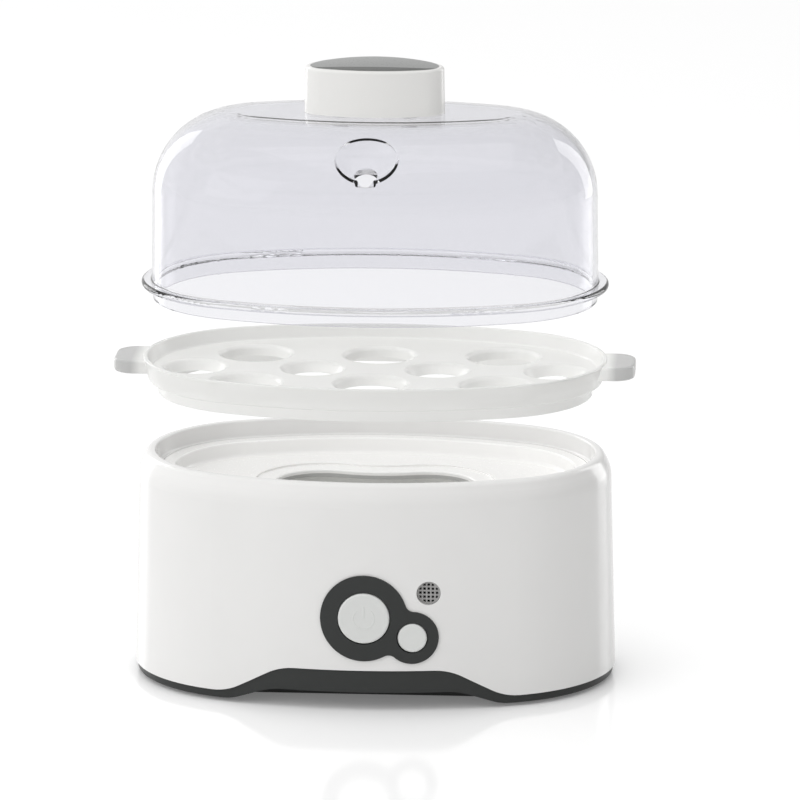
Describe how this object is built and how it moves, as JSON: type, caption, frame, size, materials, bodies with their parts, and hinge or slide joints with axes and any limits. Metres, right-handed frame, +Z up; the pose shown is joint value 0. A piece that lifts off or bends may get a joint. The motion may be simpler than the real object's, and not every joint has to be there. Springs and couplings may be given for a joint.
{
  "type": "electric egg cooker",
  "caption": "Oval electric egg cooker: white base with a heated water dish, push buttons in a dark bezel, lift-out frosted egg tray and clear domed lid with a knob handle.",
  "frame": {"origin": "on the table under the middle of the base's oval", "axes": "+X to the right along the long way, +Y from the front with its buttons to the back, +Z up"},
  "size_m": [0.229, 0.1402, 0.2741],
  "materials": {
    "white_plastic": "glossy",
    "button_plastic": "satin",
    "dark_plastic": "satin",
    "grey_plastic": "satin",
    "clear_plastic": "clear and polished",
    "frosted_plastic": "frosted",
    "black_plastic": "matte",
    "board_laminate": "satin",
    "ceramic_plastic": "matte",
    "wire_sheath": "satin",
    "soft_rubber": "matte",
    "seal_rubber": "matte",
    "plate_aluminium": "satin coat",
    "zinc_steel": "zinc plated"
  },
  "bodies": {
    "base": {"housing": "white_plastic", "basin": "white_plastic", "bottom_cover": "dark_plastic", "rubber_feet": "soft_rubber", "cover_screws": "zinc_steel", "heating_plate": "plate_aluminium", "plate_seal": "seal_rubber", "plate_clips": "zinc_steel", "clip_screws": "zinc_steel", "heating_element": "zinc_steel", "thermostat": "ceramic_plastic", "thermal_fuse": "ceramic_plastic", "control_bezel": "dark_plastic", "circuit_board": "board_laminate", "board_screws": "zinc_steel", "power_switch": "black_plastic", "small_switch": "black_plastic", "buzzer": "black_plastic", "buzzer_grille": "grey_plastic", "cord_gland": "soft_rubber", "terminal_block": "ceramic_plastic", "wires": "wire_sheath"},
    "power_button": {"power_button": "button_plastic"},
    "small_button": {"small_button": "button_plastic"},
    "tray": {"egg_tray": "frosted_plastic"},
    "lid": {"lid": "clear_plastic", "lid_handle": "white_plastic", "handle_cap": "grey_plastic", "handle_screws": "zinc_steel"}
  },
  "joints": [
    {"name": "tray_lift", "type": "slide", "parent": "base", "child": "tray", "axis": [0, 0, 1], "range_m": [-0.0317, 0]},
    {"name": "lid_lift", "type": "slide", "parent": "tray", "child": "lid", "axis": [0, 0, 1], "range_m": [-0.0316, 0]},
    {"name": "power_press", "type": "slide", "parent": "base", "child": "power_button", "axis": [0, 1, 0], "range_m": [0, 0.0025], "stiffness_N_per_m": 900},
    {"name": "small_press", "type": "slide", "parent": "base", "child": "small_button", "axis": [0, 1, 0], "range_m": [0, 0.0016], "stiffness_N_per_m": 900}
  ]
}
